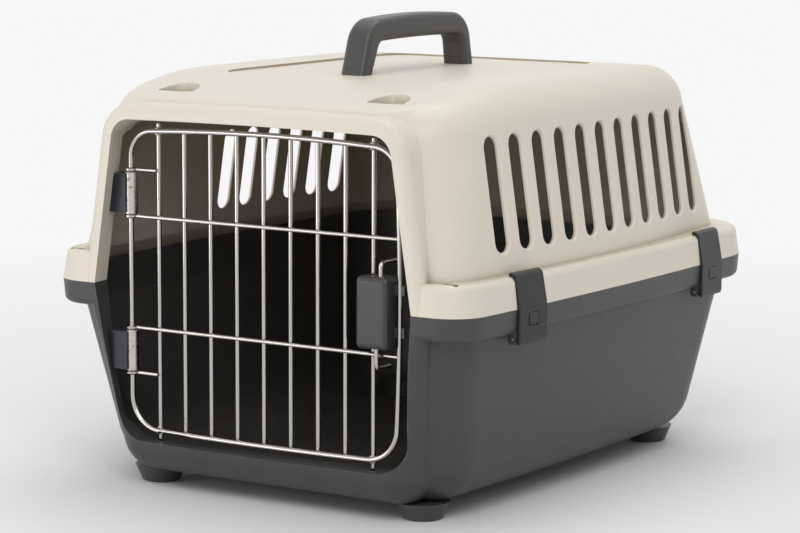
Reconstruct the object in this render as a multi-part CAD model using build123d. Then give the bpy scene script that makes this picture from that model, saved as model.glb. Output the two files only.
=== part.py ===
from build123d import *
import math
import os

# Bird travel carrier: a two-shell moulded case with a wire door, four side clips and a carry handle.
# Millimetres. X runs to the carrier's right, Y from the door to the back wall, Z up from the feet.
# The origin is on the ground under the middle of the case.

# ---- overall sizes ----
LENGTH = 388.0            # door surround to back rim
WIDTH = 330.0             # across the rims at the seam
SEAM_Z = 134.0            # height where the two shells meet
LEDGE_Z = 153.5           # top of the upper shell's rim
RIM_DROP = 15.5           # height of the tray's rim below the seam
ROOF_Z = 266.5            # flat of the roof
BELLY_Z = 10.0            # underside of the tray
WALL = 2.6                # moulded wall
RIM_WALL = 3.2            # wall of the rim bands
FRONT_Y = -LENGTH / 2
BACK_Y = LENGTH / 2
TRAY_TOP_Z = SEAM_Z - RIM_DROP

# ---- plan shape ----
SIDE_BOW_RADIUS = 3000.0  # gentle outward curve of the long sides
SIDE_BOW_Y = 21.0         # where the rims are widest
UPPER_BOW_RADIUS = 1400.0 # the upper walls bow more than the rims
UPPER_BOW_Y = -15.0
BACK_BOW = 3.0            # how far the back bulges
RIM_CORNER_FRONT = 24.0
RIM_CORNER_BACK = 44.0
RIM_DRAFT = 2.4           # how far the upper rim narrows up to its ledge
TRAY_RIM_DRAFT = 1.0
RIM_EDGE_RADIUS = 4.5

# ---- upper shell ----
UPPER_INSET = 11.5        # step from the rim in to the wall
UPPER_FRONT_INSET = 8.8
UPPER_LEAN = 0.15         # inward lean of the sides and the back
UPPER_FRONT_LEAN = 0.055
UPPER_CORNER_FRONT = 24.0
UPPER_CORNER_BACK = 40.0
CORNER_GROWTH = 0.22      # corner radius gained for each millimetre of height
ROOF_EDGE_RADIUS = 26.0
ROOF_FLAT_FRONT = FRONT_Y + 82.0
ROOF_FLAT_BACK = BACK_Y - 93.0
ROOF_FRONT_SLOPE = 0.195
ROOF_BACK_SLOPE = 0.10
ROOF_BEND_RADIUS = 300.0
UPPER_START_Z = LEDGE_Z - 4.0   # the wall is closed by the ledge above this height
BROW_HALF = WIDTH / 2 - 52.0         # the roof's slope runs out over the door this wide
BROW_BACK = FRONT_Y + 49.0
BROW_CORNER = 30.0
BROW_EDGE_RADIUS = 8.0

# ---- tray ----
TRAY_INSET = 11.0
TRAY_FRONT_INSET = 9.0
TRAY_LEAN = 0.175
TRAY_FRONT_LEAN = 0.165
TRAY_CORNER_FRONT = 26.0
TRAY_CORNER_BACK = 40.0
TRAY_CORNER_GROWTH = 0.05
BELLY_RADIUS = 33.0
LIP_HEIGHT = 8.5          # tongue that stands up inside the upper shell
CHIN_LEAN = 0.087         # the tray's door surround leans back towards the ground
CHIN_BACK = FRONT_Y + 69.0
CHIN_CORNER_LOW = 27.0
CHIN_RADIUS = 25.0
FOOT_TOP_RADIUS = 17.0
FOOT_RADIUS = 12.3
FOOT_X = WIDTH / 2 - 63.4
FOOT_YS = (FRONT_Y + 44.0, BACK_Y - 52.0)

# ---- doorway ----
OPENING_BOTTOM = 32.4
OPENING_TOP = 240.3
OPENING_ARCH = 1.2
OPENING_HALF_SEAM = WIDTH / 2 - 44.5
OPENING_HALF_LOW = OPENING_HALF_SEAM - 10.5
OPENING_LOW_Z = 55.0
OPENING_HALF_HIGH = OPENING_HALF_SEAM - 14.0
OPENING_HIGH_Z = 226.0
OPENING_CORNER_LOW = 22.0
OPENING_CORNER_HIGH = 14.0
REVEAL_DEPTH = 24.0
REVEAL_FLARE = 4.0        # the doorway widens inwards at its sides
REVEAL_HEAD_DROP = 3.0
REVEAL_SILL_RISE = 0.8
BAND_WIDTH = 10.0         # raised surround
BAND_EDGE_RADIUS = 6.0

# ---- roof details ----
RECESS_HALF = WIDTH / 2 - 82.0
RECESS_DEPTH = 1.5
RECESS_CORNER = 18.0
POCKET_RADIUS = 13.0
POCKET_STRETCH = 1.45     # length of the round side against its width
POCKET_DEPTH = 8.0
POCKET_BAR_RADIUS = 2.2
POCKET_HOLE = (7.5, 9.0)
POCKETS = (               # across, flat side, way the round side faces
    (WIDTH / 2 - 85.0, FRONT_Y + 32.0, 1),
    (WIDTH / 2 - 92.0, BACK_Y - 52.0, -1),
)
TIE_SLIT = (12.0, 3.2)
TIE_SLIT_AT = (WIDTH / 2 - 23.4, FRONT_Y + 10.0)

# ---- air slots ----
SLOT_WIDTH = 13.6
SLOT_PITCH = 25.5
SLOT_BOTTOM = LEDGE_Z + 13.0
RIGHT_SLOT_TOP = ROOF_Z - 29.5
RIGHT_SLOT_FIRST_Y = FRONT_Y + 64.2
RIGHT_SLOT_COUNT = int((BACK_Y - 68.0 - RIGHT_SLOT_FIRST_Y) / SLOT_PITCH) + 1
LEFT_SLOT_TOP = ROOF_Z - 49.0    # the left wall has fewer and shorter slots
LEFT_SLOT_FIRST_Y = BACK_Y - 210.5
LEFT_SLOT_COUNT = 6
LEFT_SLOT_BOTTOM = LEDGE_Z + 8.5
SLOT_BEVEL = 1.2

# ---- carry handle ----
HANDLE_WIDTH = 18.5
HANDLE_FRONT_Y = -72.0
HANDLE_BACK_Y = 51.0
HANDLE_TOP_Z = 302.3
HANDLE_LEG = 14.5
HANDLE_GRIP = 15.5
HANDLE_LEANS = (11.0, 7.0)   # how far each leg leans in, front and back
HANDLE_BACK_TAPER = 4.0   # the back leg is slimmer at its top
HANDLE_EDGE_RADIUS = 4.0
HANDLE_GROOVE_Z = 5.0     # fine line above the foot of each leg
TENON = (10.0, 6.0)
TENON_LENGTH = 9.0
TENON_BARB = 1.0

# ---- side clips ----
CLIP_WIDTH = 31.0
CLIP_YS = (FRONT_Y + 72.5, BACK_Y - 81.0)
CLIP_SIDE_GAP = 0.3
CLIP_RECESS = 1.6
CLIP_GAP = 0.3            # clip to shells
CLIP_PROUD = 1.8
CLIP_BARREL_RADIUS = 3.3
CLIP_BARREL_X = CLIP_GAP - CLIP_RECESS - CLIP_BARREL_RADIUS + 0.1   # hinge line, in from the rim's face
CLIP_BARREL_Z = TRAY_TOP_Z - 0.4 - CLIP_BARREL_RADIUS
CLIP_PAD = (10.6, 7.4)
CLIP_HOOK_REACH = 7.0     # how far the clip's hook lies in over the ledge
CLIP_BARREL_LENGTH = 24.0
CLIP_PIN_RADIUS = 1.2
CLIP_PIN_FIT = 0.05       # running clearance on the pin
LUG_THICKNESS = 3.0
LUG_RADIUS = 3.0
LUG_GAP = 0.3

# ---- wire door ----
DOOR_Y = FRONT_Y + 15.0   # plane of the frame wire
FRAME_RADIUS = 1.75
FRAME_LEFT = 18.5 - OPENING_HALF_SEAM   # also the hinge line
FRAME_CORNER_RIGHT = OPENING_HALF_SEAM - 20.0
FRAME_MIDDLE_RIGHT = OPENING_HALF_SEAM - 17.1
FRAME_TOP = OPENING_TOP - 9.2
FRAME_TOP_MIDDLE = OPENING_TOP - 5.8
FRAME_BOTTOM = OPENING_BOTTOM + 7.2
FRAME_BOTTOM_MIDDLE = OPENING_BOTTOM + 5.9
FRAME_CORNER_TOP = 17.0
FRAME_CORNER_BOTTOM = 22.0
BAR_RADIUS = 1.5
BAR_FIRST_X = FRAME_LEFT + 20.0
BOLT_X = FRAME_CORNER_RIGHT - 18.5
BAR_COUNT = 8             # the last place is taken by the two bolts
BAR_PITCH = (BOLT_X - BAR_FIRST_X) / BAR_COUNT
BAR_SET_BACK = 3.1        # bars sit behind the frame, just melted into it
ROD_SET_BACK = 3.3        # rods run just clear behind the frame
CROSS_RADIUS = 1.25
CROSS_SET_BACK = 0.5
STUB_SET_BACK = 0.8
CROSS_ZS = (177.0, 105.0)
STUB_ZS = (207.0, 75.5)
EYE_RADIUS = 4.2
EYE_HEIGHT = 2.5
ROD_TOP = OPENING_TOP - 2.8
ROD_BOTTOM = OPENING_BOTTOM + 0.7
COLLAR_RADIUS = 3.0
COLLAR_LENGTH = 5.0
COLLAR_FIT = 0.05
ROD_HOLE_RADIUS = 2.1
DIMPLE_RADIUS = 2.4
DIMPLE_DEPTH = 1.0

# ---- hinge ----
SLEEVE_RADIUS = 4.5
SLEEVE_FIT = 0.05
SLEEVE_SPANS = ((178.5, 205.5), (77.0, 103.5))
SLEEVE_SLIT = 0.5
BRACKET_SPANS = ((179.5, 204.5), (78.0, 102.5))
BRACKET_FRONT = DOOR_Y - 6.0
BRACKET_BACK = DOOR_Y + 6.0
BRACKET_RIGHT = FRAME_LEFT + 1.0

# ---- latch ----
HOUSING_X = (BOLT_X - 6.0, BOLT_X + 17.5)
HOUSING_Y = (DOOR_Y - 9.0, DOOR_Y + 7.6)
HOUSING_Z = (109.5, 154.0)
HOUSING_PARTING = DOOR_Y - 1.0
HOUSING_WALL = 2.0
HOUSING_RADIUS = 3.5
HOUSING_DIVIDER = 132.5
ROD_CLEAR = 0.35
THUMB_Y = DOOR_Y - 3.5
UPPER_THUMB_X = BOLT_X + 9.7
LOWER_THUMB_X = BOLT_X + 6.6
UPPER_CRANK_Z = 146.0
LOWER_CRANK_Z = 119.0
UPPER_THUMB_Z = 162.5
LOWER_THUMB_Z = 97.0
UPPER_THUMB_END = DOOR_Y + 17.0
LOWER_THUMB_END = DOOR_Y + 11.5
WIRE_BEND = 3.2
HOOK_ZS = (120.0, 146.0)
HOOK_HEIGHT = 6.0
HOOK_RADIUS = 3.6
SPRING_RADIUS = 2.5
SPRING_WIRE = 0.8
SPRING_TURNS = 4
SPRING_SEAT = 0.05


# ================= shared shapes =================

def half_width(y, inset=0.0, bow=(SIDE_BOW_RADIUS, SIDE_BOW_Y)):
    """Half of the case's width at a place along its length."""
    radius, middle = bow
    sag = radius - math.sqrt(radius**2 - (y - middle) ** 2)
    return WIDTH / 2 - inset - sag


def plan_face(z, inset, front_inset, corner_front, corner_back, bow=(SIDE_BOW_RADIUS, SIDE_BOW_Y)):
    """Rounded plan outline, moved in from the seam's outline, at one height."""
    front = FRONT_Y + front_inset
    back = BACK_Y - inset
    back_corner = back - BACK_BOW
    x_front = half_width(front, inset, bow)
    x_back = half_width(back_corner, inset, bow)
    x_middle = half_width(bow[1], inset, bow)
    with BuildSketch(Plane.XY.offset(z)) as sketch:
        with BuildLine():
            Line((-x_front, front), (x_front, front))
            ThreePointArc((x_front, front), (x_middle, bow[1]), (x_back, back_corner))
            ThreePointArc((x_back, back_corner), (0, back), (-x_back, back_corner))
            ThreePointArc((-x_back, back_corner), (-x_middle, bow[1]), (-x_front, front))
        make_face()
        fillet(sketch.vertices().filter_by(lambda v: v.Y < 0), corner_front)
        rear = [v for v in sketch.vertices() if v.Y > back_corner - 0.5 and abs(v.X) > x_back - 0.5]
        fillet(rear, corner_back)
    return sketch.sketch.face()


def box_plan(z, half, front, back, corner):
    """Plan rectangle with its two front corners rounded."""
    with BuildSketch(Plane.XY.offset(z)) as sketch:
        with Locations((0, (front + back) / 2)):
            Rectangle(2 * half, back - front)
        fillet(sketch.vertices().group_by(Axis.Y)[0], corner)
    return sketch.sketch.face()


def loft_between(low, high):
    return Solid.make_loft([low.outer_wire(), high.outer_wire()], ruled=True)


def block(x, y, z):
    """Box between pairs of coordinates."""
    size = Box(x[1] - x[0], y[1] - y[0], z[1] - z[0])
    return Pos((x[0] + x[1]) / 2, (y[0] + y[1]) / 2, (z[0] + z[1]) / 2) * size


def rod(x, y, z0, z1, radius):
    """Upright round bar."""
    return Pos(x, y, z0) * Cylinder(radius, z1 - z0, align=(Align.CENTER, Align.CENTER, Align.MIN))


def bent_wire(points, radius):
    """Round wire bent through a list of points."""
    path = FilletPolyline(*points, radius=WIRE_BEND)
    start = Plane(origin=path @ 0, z_dir=path % 0)
    return sweep(start * Circle(radius), path=path)


def mirrored(shape):
    return mirror(shape, about=Plane.YZ)


# ================= forms of the two shells =================

def upper_section(z, wall):
    rise = z - LEDGE_Z
    return plan_face(
        z,
        UPPER_INSET + UPPER_LEAN * rise + wall,
        UPPER_FRONT_INSET + UPPER_FRONT_LEAN * rise + wall,
        UPPER_CORNER_FRONT + CORNER_GROWTH * rise - wall,
        UPPER_CORNER_BACK + CORNER_GROWTH * rise - wall,
        (UPPER_BOW_RADIUS, UPPER_BOW_Y),
    )


def roof_limit(wall):
    """Everything under the roof's long profile: flat in the middle, falling to the door and the back."""
    top = ROOF_Z - wall
    ends = (
        (ROOF_FLAT_FRONT - LENGTH, top - ROOF_FRONT_SLOPE * LENGTH),
        (ROOF_FLAT_FRONT, top),
        (ROOF_FLAT_BACK, top),
        (ROOF_FLAT_BACK + LENGTH, top - ROOF_BACK_SLOPE * LENGTH),
    )
    with BuildSketch(Plane.YZ.offset(-WIDTH)) as sketch:
        with BuildLine():
            FilletPolyline(*ends, radius=ROOF_BEND_RADIUS)
            Polyline(ends[3], (ends[3][0], -50), (ends[0][0], -50), ends[0])
        make_face()
    return extrude(sketch.sketch.face(), 2 * WIDTH)


def upper_form(wall):
    """Body of the upper shell above its ledge, as a closed form moved in by the wall."""
    walls = loft_between(upper_section(UPPER_START_Z - wall, wall), upper_section(ROOF_Z + 8, wall))
    form = walls & roof_limit(wall)
    edges = [e for e in form.edges() if e.center().Z > ROOF_Z - 60 and e.bounding_box().size.Z <= 60]
    return fillet(edges, ROOF_EDGE_RADIUS - wall)


def brow_form(wall):
    """Carries the roof's slope out over the door."""
    def section(z):
        front = FRONT_Y + UPPER_FRONT_INSET + UPPER_FRONT_LEAN * (z - LEDGE_Z) + wall
        return box_plan(z, BROW_HALF - wall, front, BROW_BACK, BROW_CORNER - wall)

    form = loft_between(section(UPPER_START_Z), section(ROOF_Z + 8)) & roof_limit(wall)
    top = [e for e in form.edges() if e.center().Z > 240 and e.center().Y < BROW_BACK - 0.5]
    return fillet(top, BROW_EDGE_RADIUS - wall)


def opening_face(y, grow=0.0, flare=0.0, drop=0.0, rise=0.0):
    """Outline of the doorway at one depth."""
    low_slope = (OPENING_HALF_SEAM - OPENING_HALF_LOW) / (SEAM_Z - OPENING_LOW_Z)
    high_slope = (OPENING_HALF_SEAM - OPENING_HALF_HIGH) / (OPENING_HIGH_Z - SEAM_Z)
    half = OPENING_HALF_SEAM + grow + flare
    top = OPENING_TOP + grow - drop
    low = OPENING_BOTTOM - grow + rise
    half_top = half - high_slope * (top - SEAM_Z)
    half_low = half - low_slope * (SEAM_Z - low)
    with BuildSketch(Plane.XZ.offset(-y)) as sketch:
        with BuildLine():
            ThreePointArc((-half_low, low), (0, low - OPENING_ARCH), (half_low, low))
            Polyline((half_low, low), (half, SEAM_Z), (half_top, top))
            ThreePointArc((half_top, top), (0, top + OPENING_ARCH), (-half_top, top))
            Polyline((-half_top, top), (-half, SEAM_Z), (-half_low, low))
        make_face()
        fillet([v for v in sketch.vertices() if v.Y < SEAM_Z - 50], OPENING_CORNER_LOW + grow)
        fillet([v for v in sketch.vertices() if abs(v.Y - top) < 0.5], OPENING_CORNER_HIGH + grow)
    return sketch.sketch.face()


def opening_block(grow, front, back):
    return extrude(opening_face(back, grow), back - front)


def opening_air():
    """Clear way through the surround, widening inwards."""
    ahead = 2.0
    reach = REVEAL_DEPTH + 1.0

    def at(depth):
        share = depth / REVEAL_DEPTH
        return opening_face(
            FRONT_Y + depth, 0, REVEAL_FLARE * share, REVEAL_HEAD_DROP * share, REVEAL_SILL_RISE * share
        )

    return loft_between(at(-ahead), at(reach))


def upper_band(wall):
    """Raised surround of the doorway, above the seam."""
    back = FRONT_Y + (22.0 if wall == 0 else 30.0)
    form = opening_block(BAND_WIDTH - wall, FRONT_Y + wall, back)
    form = form & block((-WIDTH, WIDTH), (-WIDTH, WIDTH), (SEAM_Z, ROOF_Z + 50))
    front = [
        e for e in form.edges()
        if abs(e.center().Y - FRONT_Y - wall) < 0.01 and e.center().Z > SEAM_Z + 0.1
    ]
    return fillet(front, BAND_EDGE_RADIUS - wall)


def chin_form(wall):
    """Front of the tray round the doorway, leaning back and rolling under."""
    low_slope = (OPENING_HALF_SEAM - OPENING_HALF_LOW) / (SEAM_Z - OPENING_LOW_Z)
    low_z = BELLY_Z + wall
    half = OPENING_HALF_SEAM + BAND_WIDTH - wall
    drop = SEAM_Z - low_z
    high = box_plan(SEAM_Z, half, FRONT_Y + wall, CHIN_BACK, BAND_EDGE_RADIUS - wall)
    low = box_plan(low_z, half - low_slope * drop, FRONT_Y + wall + CHIN_LEAN * drop, CHIN_BACK,
                   CHIN_CORNER_LOW - wall)
    form = loft_between(low, high)
    bottom = [e for e in form.edges().group_by(Axis.Z)[0] if e.center().Y < CHIN_BACK - 0.5]
    return fillet(bottom, CHIN_RADIUS - wall)


def tray_form(wall, top_z):
    """Bowl of the tray as a closed form moved in by the wall."""
    drop = TRAY_TOP_Z - BELLY_Z - wall
    high = plan_face(TRAY_TOP_Z, TRAY_INSET + wall, TRAY_FRONT_INSET + wall,
                     TRAY_CORNER_FRONT - wall, TRAY_CORNER_BACK - wall)
    low = plan_face(BELLY_Z + wall, TRAY_INSET + wall + TRAY_LEAN * drop,
                    TRAY_FRONT_INSET + wall + TRAY_FRONT_LEAN * drop,
                    TRAY_CORNER_FRONT - wall + TRAY_CORNER_GROWTH * drop,
                    TRAY_CORNER_BACK - wall + TRAY_CORNER_GROWTH * drop)
    bowl = loft_between(low, high)
    bowl = fillet(bowl.edges().group_by(Axis.Z)[0], BELLY_RADIUS - wall)
    return bowl + extrude(high, top_z - TRAY_TOP_Z)


def rim_form(wall, low_z, high_z, low_draft, high_draft):
    """Solid rim between two heights, narrowing by a draft at each."""
    def section(z, draft):
        return plan_face(z, draft + wall, draft + wall, RIM_CORNER_FRONT - wall, RIM_CORNER_BACK - wall)

    return loft_between(section(low_z, low_draft), section(high_z, high_draft))


def reveal_tube(low_z, high_z):
    """Wall of the doorway's sides, head or sill."""
    tube = opening_block(WALL, FRONT_Y, FRONT_Y + REVEAL_DEPTH)
    return tube & block((-WIDTH, WIDTH), (-WIDTH, WIDTH), (low_z, high_z))


# ================= details cut into the shells =================

def clip_place(y):
    """Frame of a right-hand clip: X out of the rim's face, Y along it, Z up from the ground."""
    tilt = math.degrees(math.asin((y - SIDE_BOW_Y) / SIDE_BOW_RADIUS))
    return Pos(half_width(y), y, 0) * Rot(0, 0, tilt)


def clip_prism(points, width, radius=0.0):
    """Outline in the clip's X and Z, carried along its Y."""
    with BuildSketch(Plane.XZ.offset(-width / 2)) as sketch:
        with BuildLine():
            Polyline(*points, close=True)
        make_face()
        if radius:
            fillet(sketch.vertices(), radius)
    return extrude(sketch.sketch.face(), width)


def clip_recesses():
    """Shallow seats for the four clips in both rims."""
    above = LEDGE_Z + 3
    lean = (RIM_DRAFT + 0.3) / (LEDGE_Z + CLIP_GAP - SEAM_Z)
    outline = [
        (-CLIP_RECESS, TRAY_TOP_Z - 1),
        (-CLIP_RECESS, SEAM_Z),
        (-CLIP_RECESS - lean * (above - SEAM_Z), above),
        (8, above),
        (8, TRAY_TOP_Z - 1),
    ]
    seat = clip_prism(outline, CLIP_WIDTH + 2 * CLIP_SIDE_GAP)
    right = [clip_place(y) * seat for y in CLIP_YS]
    return right + [mirrored(s) for s in right]


def pocket_face(z, x, y, way, radius):
    """Half-moon with its flat side at y."""
    with BuildSketch(Plane.XY.offset(z)) as sketch:
        with Locations((x, y)):
            Ellipse(radius, radius * POCKET_STRETCH)
        with Locations((x, y - way * 30)):
            Rectangle(80, 60, mode=Mode.SUBTRACT)
        fillet(sketch.vertices(), 1.8)
    return sketch.sketch.face()


def roof_height(y):
    if y < ROOF_FLAT_FRONT:
        return ROOF_Z - ROOF_FRONT_SLOPE * (ROOF_FLAT_FRONT - y)
    if y > ROOF_FLAT_BACK:
        return ROOF_Z - ROOF_BACK_SLOPE * (y - ROOF_FLAT_BACK)
    return ROOF_Z


def strap_pockets():
    """Cups, hollows and bars of the four strap anchors, each with a hole beside its bar."""
    cups = []
    hollows = []
    bars = []
    for across, y, way in POCKETS:
        top = roof_height(y)
        floor = top - POCKET_DEPTH
        for x in (-across, across):
            hollow = loft_between(
                pocket_face(floor, x, y, way, POCKET_RADIUS - 2.0),
                pocket_face(top + 6, x, y, way, POCKET_RADIUS + 2.0),
            )
            cup = loft_between(
                pocket_face(floor - 2, x, y - way * 2.2, way, POCKET_RADIUS + 0.5),
                pocket_face(top + 6, x, y - way * 2.2, way, POCKET_RADIUS + 5.5),
            )
            hole_y = y + way * (2.0 + POCKET_HOLE[1] / 2)
            hole = block(
                (x + POCKET_BAR_RADIUS, x + POCKET_BAR_RADIUS + POCKET_HOLE[0]),
                (hole_y - POCKET_HOLE[1] / 2, hole_y + POCKET_HOLE[1] / 2), (floor - 4, floor + 1),
            )
            bar_y = sorted((y - way * 1.5, y + way * (POCKET_RADIUS * POCKET_STRETCH + 0.5)))
            bar_length = bar_y[1] - bar_y[0]
            bar = Pos(x, sum(bar_y) / 2, top - 3.4) * Rot(90, 0, 0) * Cylinder(POCKET_BAR_RADIUS, bar_length)
            cups.append(cup)
            hollows.append(hollow)
            hollows.append(hole)
            bars.append(bar)
    return cups, hollows, bars


def slot_cutter(side, first_y, count, bottom, top):
    """Row of upright slots through one side wall."""
    spots = [(first_y + SLOT_PITCH * i, (top + bottom) / 2) for i in range(count)]
    x0, x1 = sorted((side * (WIDTH / 2 - 55), side * (WIDTH / 2 + 5)))
    with BuildSketch(Plane.YZ.offset(x0)) as sketch:
        with Locations(*spots):
            SlotOverall(top - bottom, SLOT_WIDTH, rotation=90)
    return extrude(sketch.sketch, x1 - x0)


def bevel_slots(shell):
    """Soft outer edge on every air slot."""
    edges = []
    for e in shell.edges():
        c = e.center()
        if not LEFT_SLOT_BOTTOM - 1 < c.Z < RIGHT_SLOT_TOP + 1 or abs(c.X) < WIDTH / 2 - 45:
            continue
        if not RIGHT_SLOT_FIRST_Y - 12 < c.Y < BACK_Y - 56 or e.length > RIGHT_SLOT_TOP - SLOT_BOTTOM + 5:
            continue
        outer = half_width(c.Y, UPPER_INSET + UPPER_LEAN * (c.Z - LEDGE_Z), (UPPER_BOW_RADIUS, UPPER_BOW_Y))
        if abs(abs(c.X) - outer) < 0.7 and e.bounding_box().size.Z > 2:
            edges.append(e)
    return chamfer(edges, SLOT_BEVEL)


# ================= the two shells =================

def make_top_shell():
    rim = rim_form(0, SEAM_Z, LEDGE_Z, 0, RIM_DRAFT)
    rim = fillet(rim.edges().group_by(Axis.Z)[-1], RIM_EDGE_RADIUS)
    rim_air = rim_form(RIM_WALL, SEAM_Z - 1, LEDGE_Z - RIM_WALL, 0, RIM_DRAFT)
    cups, hollows, bars = strap_pockets()
    recess_plan = [
        extrude(Plane.XY.offset(z) * Pos(0, (ROOF_FLAT_FRONT + ROOF_FLAT_BACK) / 2)
                * RectangleRounded(2 * (RECESS_HALF + g), ROOF_FLAT_BACK - ROOF_FLAT_FRONT + 2 * g,
                                   RECESS_CORNER + g), 8)
        for z, g in ((ROOF_Z - RECESS_DEPTH, 0), (ROOF_Z - RECESS_DEPTH - WALL, WALL))
    ]
    air = upper_form(WALL) + rim_air + upper_band(WALL) + brow_form(WALL)
    air = air - recess_plan[1]
    for cup in cups:
        air = air - cup
    shell = upper_form(0) + rim + upper_band(0) + brow_form(0)
    shell = shell - air
    shell = shell + reveal_tube(SEAM_Z, ROOF_Z)
    shell = shell - opening_air()
    shell = shell - recess_plan[0]
    for hollow in hollows:
        shell = shell - hollow
    shell = shell - slot_cutter(1, RIGHT_SLOT_FIRST_Y, RIGHT_SLOT_COUNT, SLOT_BOTTOM, RIGHT_SLOT_TOP)
    shell = shell - slot_cutter(-1, LEFT_SLOT_FIRST_Y, LEFT_SLOT_COUNT, LEFT_SLOT_BOTTOM, LEFT_SLOT_TOP)
    shell = bevel_slots(shell)
    for bar in bars:
        shell = shell + bar
    for seat in clip_recesses():
        shell = shell - seat
    x, y = TIE_SLIT_AT
    slit = extrude(Plane.XY.offset(LEDGE_Z - 8) * Pos(x, y) * SlotOverall(*TIE_SLIT), 12)
    shell = shell - slit - mirrored(slit)
    for leg_y in (HANDLE_FRONT_Y, HANDLE_BACK_Y):
        stem_y = (leg_y - TENON[1] / 2, leg_y + TENON[1] / 2)
        shell = shell - block((-TENON[0] / 2, TENON[0] / 2), stem_y, (250, 270))
    shell = shell - rod(BOLT_X, DOOR_Y + ROD_SET_BACK, 230, 248, ROD_HOLE_RADIUS)
    head = OPENING_TOP + OPENING_ARCH / 2 - REVEAL_HEAD_DROP * (DOOR_Y + ROD_SET_BACK - FRONT_Y) / REVEAL_DEPTH
    shell = shell - rod(-BOLT_X, DOOR_Y + ROD_SET_BACK, 230, head + DIMPLE_DEPTH, DIMPLE_RADIUS)
    return shell


def make_tray():
    rim = rim_form(0, TRAY_TOP_Z, SEAM_Z, TRAY_RIM_DRAFT, 0)
    rim = fillet(rim.edges().group_by(Axis.Z)[0], RIM_EDGE_RADIUS)
    bowl = tray_form(0, SEAM_Z + LIP_HEIGHT)
    chin = chin_form(0)
    channel = rim_form(RIM_WALL, TRAY_TOP_Z + RIM_WALL, SEAM_Z + 1, TRAY_RIM_DRAFT, 0) - bowl - chin
    tray = bowl + chin + rim
    tray = tray - tray_form(WALL, SEAM_Z + LIP_HEIGHT + 1)
    tray = tray - chin_form(WALL)
    tray = tray - channel
    tube = reveal_tube(0, SEAM_Z) & chin
    tray = tray + tube
    tray = tray - opening_air()
    clear = opening_block(WALL + 1.4, FRONT_Y - 1, FRONT_Y + 40)
    tray = tray - (clear & block((-WIDTH, WIDTH), (-WIDTH, WIDTH), (SEAM_Z, ROOF_Z)))
    for seat in clip_recesses():
        tray = tray - seat
    for y in CLIP_YS:
        for side in (-1, 1):
            inner = side * (CLIP_BARREL_LENGTH / 2 + LUG_GAP)
            lug = clip_lug(inner, inner + side * LUG_THICKNESS)
            lug = clip_place(y) * lug
            tray = tray + lug + mirrored(lug)
    for y in FOOT_YS:
        for x in (-FOOT_X, FOOT_X):
            foot = Pos(x, y, 0) * Cone(
                FOOT_RADIUS, FOOT_TOP_RADIUS, BELLY_Z + 1.0, align=(Align.CENTER, Align.CENTER, Align.MIN)
            )
            foot = chamfer(foot.edges().group_by(Axis.Z)[0], 1.2)
            collar = rod(x, y, BELLY_Z + 0.5, BELLY_Z + 14, FOOT_TOP_RADIUS)
            tray = tray + foot + (collar & (bowl + chin))
    sill = OPENING_BOTTOM + REVEAL_SILL_RISE * (DOOR_Y + ROD_SET_BACK - FRONT_Y) / REVEAL_DEPTH
    tray = tray - rod(BOLT_X, DOOR_Y + ROD_SET_BACK, 26, 40, ROD_HOLE_RADIUS)
    tray = tray - rod(-BOLT_X, DOOR_Y + ROD_SET_BACK, sill - OPENING_ARCH / 2 - DIMPLE_DEPTH, 40, DIMPLE_RADIUS)
    return tray


def clip_lug(y0, y1):
    """Ear under the tray's rim that holds one end of a clip's pin."""
    low, high = sorted((y0, y1))
    with BuildSketch(Plane.XZ.offset(-high)) as sketch:
        with Locations((CLIP_BARREL_X, CLIP_BARREL_Z)):
            Circle(LUG_RADIUS)
        with Locations((CLIP_BARREL_X, (CLIP_BARREL_Z + TRAY_TOP_Z + 2) / 2)):
            Rectangle(2 * LUG_RADIUS, TRAY_TOP_Z + 2 - CLIP_BARREL_Z)
        with Locations((CLIP_BARREL_X, CLIP_BARREL_Z)):
            Circle(CLIP_PIN_RADIUS, mode=Mode.SUBTRACT)
    return extrude(sketch.sketch.face(), high - low)


# ================= carry handle =================

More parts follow.
